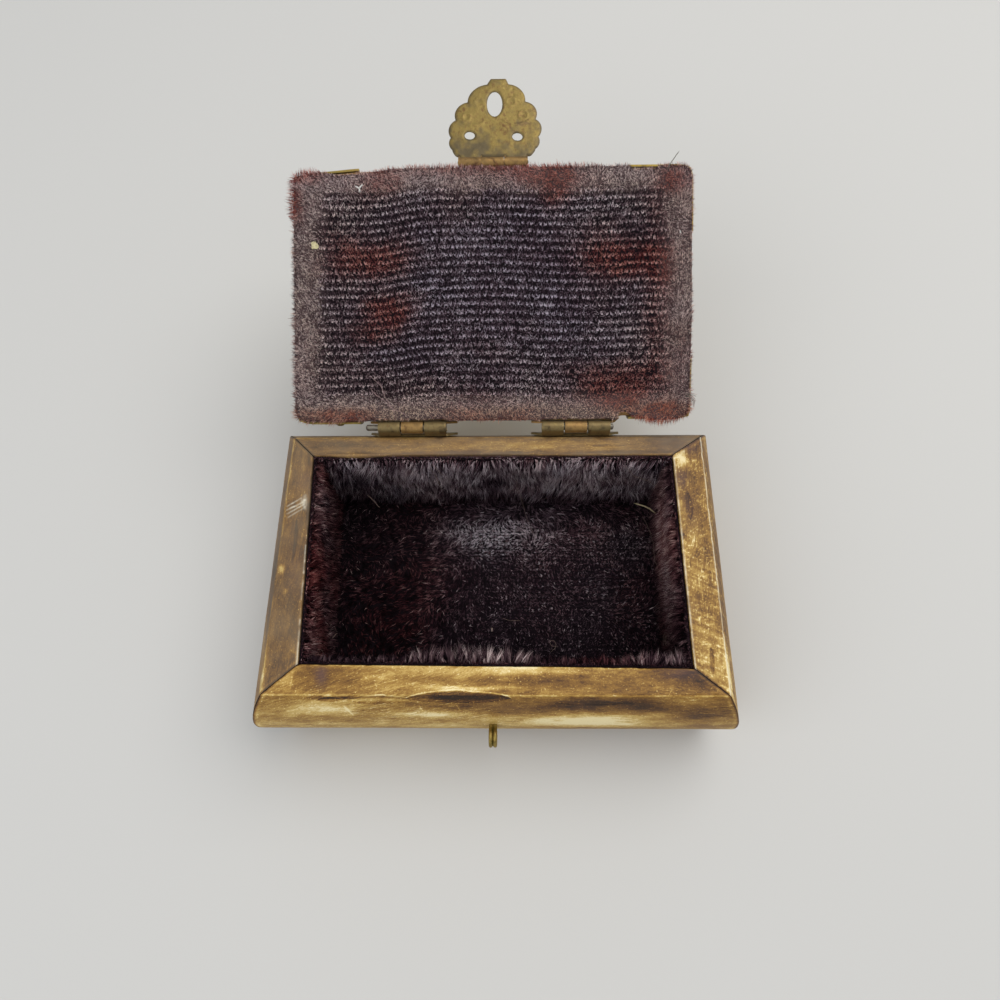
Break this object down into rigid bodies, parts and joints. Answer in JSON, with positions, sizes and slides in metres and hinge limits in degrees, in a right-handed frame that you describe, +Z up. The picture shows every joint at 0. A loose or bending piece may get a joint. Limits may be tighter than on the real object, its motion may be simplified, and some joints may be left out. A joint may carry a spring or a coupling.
{
  "type": "trinket box",
  "caption": "Small keepsake box of mitred bulging walls with a plush lining and a hinged lid that a swinging pierced hasp fastens over a staple.",
  "frame": {"origin": "middle of the base's underside, where the box stands", "axes": "+X to the right seen from the front, +Y from the front to the hinges, +Z up; at rest the lid is thrown open by 157.1 degrees and the hasp is stretched out beyond it"},
  "size_m": [0.104, 0.1456, 0.0598],
  "materials": {
    "bone": "satin",
    "pale_bone": "satin",
    "wood": "matte",
    "plush": "matte",
    "brass": "satin",
    "steel": "satin"
  },
  "bodies": {
    "base": {"front_wall": "bone", "back_wall": "bone", "left_wall": "bone", "right_wall": "bone", "bottom_panel": "wood", "lining_floor": "plush", "lining_front": "plush", "lining_back": "plush", "lining_left": "plush", "lining_right": "plush", "staple_eye": "brass", "corner_pin_front_left": "brass", "corner_pin_front_right": "brass", "corner_pin_back_left": "brass", "corner_pin_back_right": "brass", "left_hinge_base_leaf": "brass", "left_hinge_base_nail_1": "brass", "left_hinge_base_nail_2": "brass", "left_hinge_pin": "steel", "right_hinge_base_leaf": "brass", "right_hinge_base_nail_1": "brass", "right_hinge_base_nail_2": "brass", "right_hinge_pin": "steel"},
    "lid": {"lid_front_rail": "bone", "lid_back_rail": "bone", "lid_left_rail": "bone", "lid_right_rail": "bone", "lid_board": "wood", "lid_top_panel": "pale_bone", "lid_lining": "plush", "lid_corner_front_left": "brass", "corner_nail_front_left_front": "brass", "corner_nail_front_left_left": "brass", "lid_corner_front_right": "brass", "corner_nail_front_right_front": "brass", "corner_nail_front_right_right": "brass", "lid_corner_back_left": "brass", "corner_nail_back_left_back": "brass", "corner_nail_back_left_left": "brass", "lid_corner_back_right": "brass", "corner_nail_back_right_back": "brass", "corner_nail_back_right_right": "brass", "left_hinge_lid_leaf": "brass", "left_hinge_lid_nail_1": "brass", "left_hinge_lid_nail_2": "brass", "right_hinge_lid_leaf": "brass", "right_hinge_lid_nail_1": "brass", "right_hinge_lid_nail_2": "brass", "hasp_fixed_leaf": "brass", "hasp_nail_1": "brass", "hasp_nail_2": "brass", "hasp_pin": "steel"},
    "hasp": {"hasp_plate": "brass"}
  },
  "joints": [
    {"name": "lid_hinge", "type": "hinge", "parent": "base", "child": "lid", "pos_m": [0, 0.0309, 0.0318], "axis": [1, 0, 0], "range_deg": [-12, 157.1]},
    {"name": "hasp_hinge", "type": "hinge", "parent": "lid", "child": "hasp", "pos_m": [0, 0.08662, 0.05512], "axis": [1, 0, 0], "range_deg": [-58, 79.5]}
  ]
}
